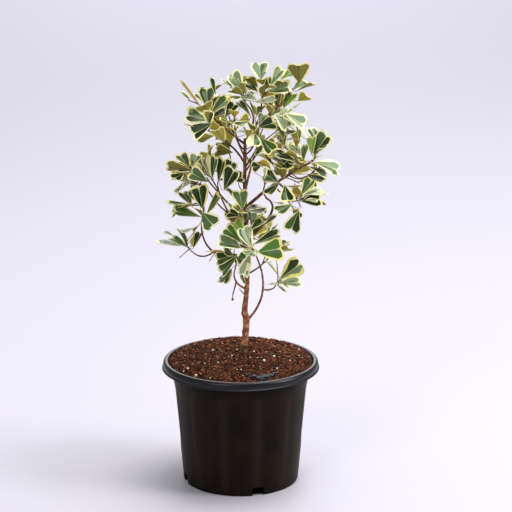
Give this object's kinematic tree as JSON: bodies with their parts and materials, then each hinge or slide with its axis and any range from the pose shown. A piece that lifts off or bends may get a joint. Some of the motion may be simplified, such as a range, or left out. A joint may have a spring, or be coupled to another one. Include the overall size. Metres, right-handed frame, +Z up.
{
  "type": "potted variegated triangle fig",
  "caption": "Small variegated triangle fig tree with a slim bare lower trunk and an open leafy crown, in a round black nursery pot filled with potting mix.",
  "frame": {"origin": "middle of the pot's flat underside", "axes": "+Z up the pot's axis and the trunk, +X to the right and +Y away from the viewer of the picture"},
  "size_m": [0.182, 0.1636, 0.4341],
  "materials": {
    "pot_plastic": "satin black polypropylene",
    "potting_mix": "moist coir fibre with perlite grains",
    "bark": "thin reddish brown bark",
    "leaves": "leathery green leaf with cream margin"
  },
  "bodies": {
    "root": {"bough_back_left": "bark", "bough_back_right": "bark", "bough_inner_right": "bark", "bough_left": "bark", "bough_left_low": "bark", "bough_left_rising": "bark", "bough_lower_left": "bark", "bough_lower_right": "bark", "bough_lower_right_side": "bark", "bough_mid_left": "bark", "bough_mid_left_back": "bark", "bough_mid_left_twig": "bark", "bough_middle_right": "bark", "bough_right": "bark", "bough_right_back": "bark", "bough_right_down": "bark", "bough_right_hanging": "bark", "bough_right_out": "bark", "bough_right_up": "bark", "bough_stub": "bark", "bough_top_left": "bark", "bough_top_middle": "bark", "bough_top_right": "bark", "bough_upper_left": "bark", "bough_upper_left_low": "bark", "leaves_back_left": "leaves", "leaves_back_right": "leaves", "leaves_back_top": "leaves", "leaves_behind": "leaves", "leaves_inner_right": "leaves", "leaves_left_low": "leaves", "leaves_left_rising": "leaves", "leaves_low_back": "leaves", "leaves_low_stub": "leaves", "leaves_lower_left": "leaves", "leaves_lower_right": "leaves", "leaves_mid_left": "leaves", "leaves_mid_left_back": "leaves", "leaves_mid_left_inner": "leaves", "leaves_middle_front": "leaves", "leaves_middle_low": "leaves", "leaves_middle_right": "leaves", "leaves_right": "leaves", "leaves_right_back": "leaves", "leaves_right_down": "leaves", "leaves_right_hanging": "leaves", "leaves_right_out": "leaves", "leaves_right_up": "leaves", "leaves_rosette": "leaves", "leaves_top_left": "leaves", "leaves_top_middle": "leaves", "leaves_top_right": "leaves", "leaves_upper_inner": "leaves", "leaves_upper_left": "leaves", "leaves_upper_left_low": "leaves", "leaves_upper_middle": "leaves", "leaves_vee": "leaves", "pot": "pot_plastic", "soil": "potting_mix", "trunk": "bark"}
  },
  "joints": []
}
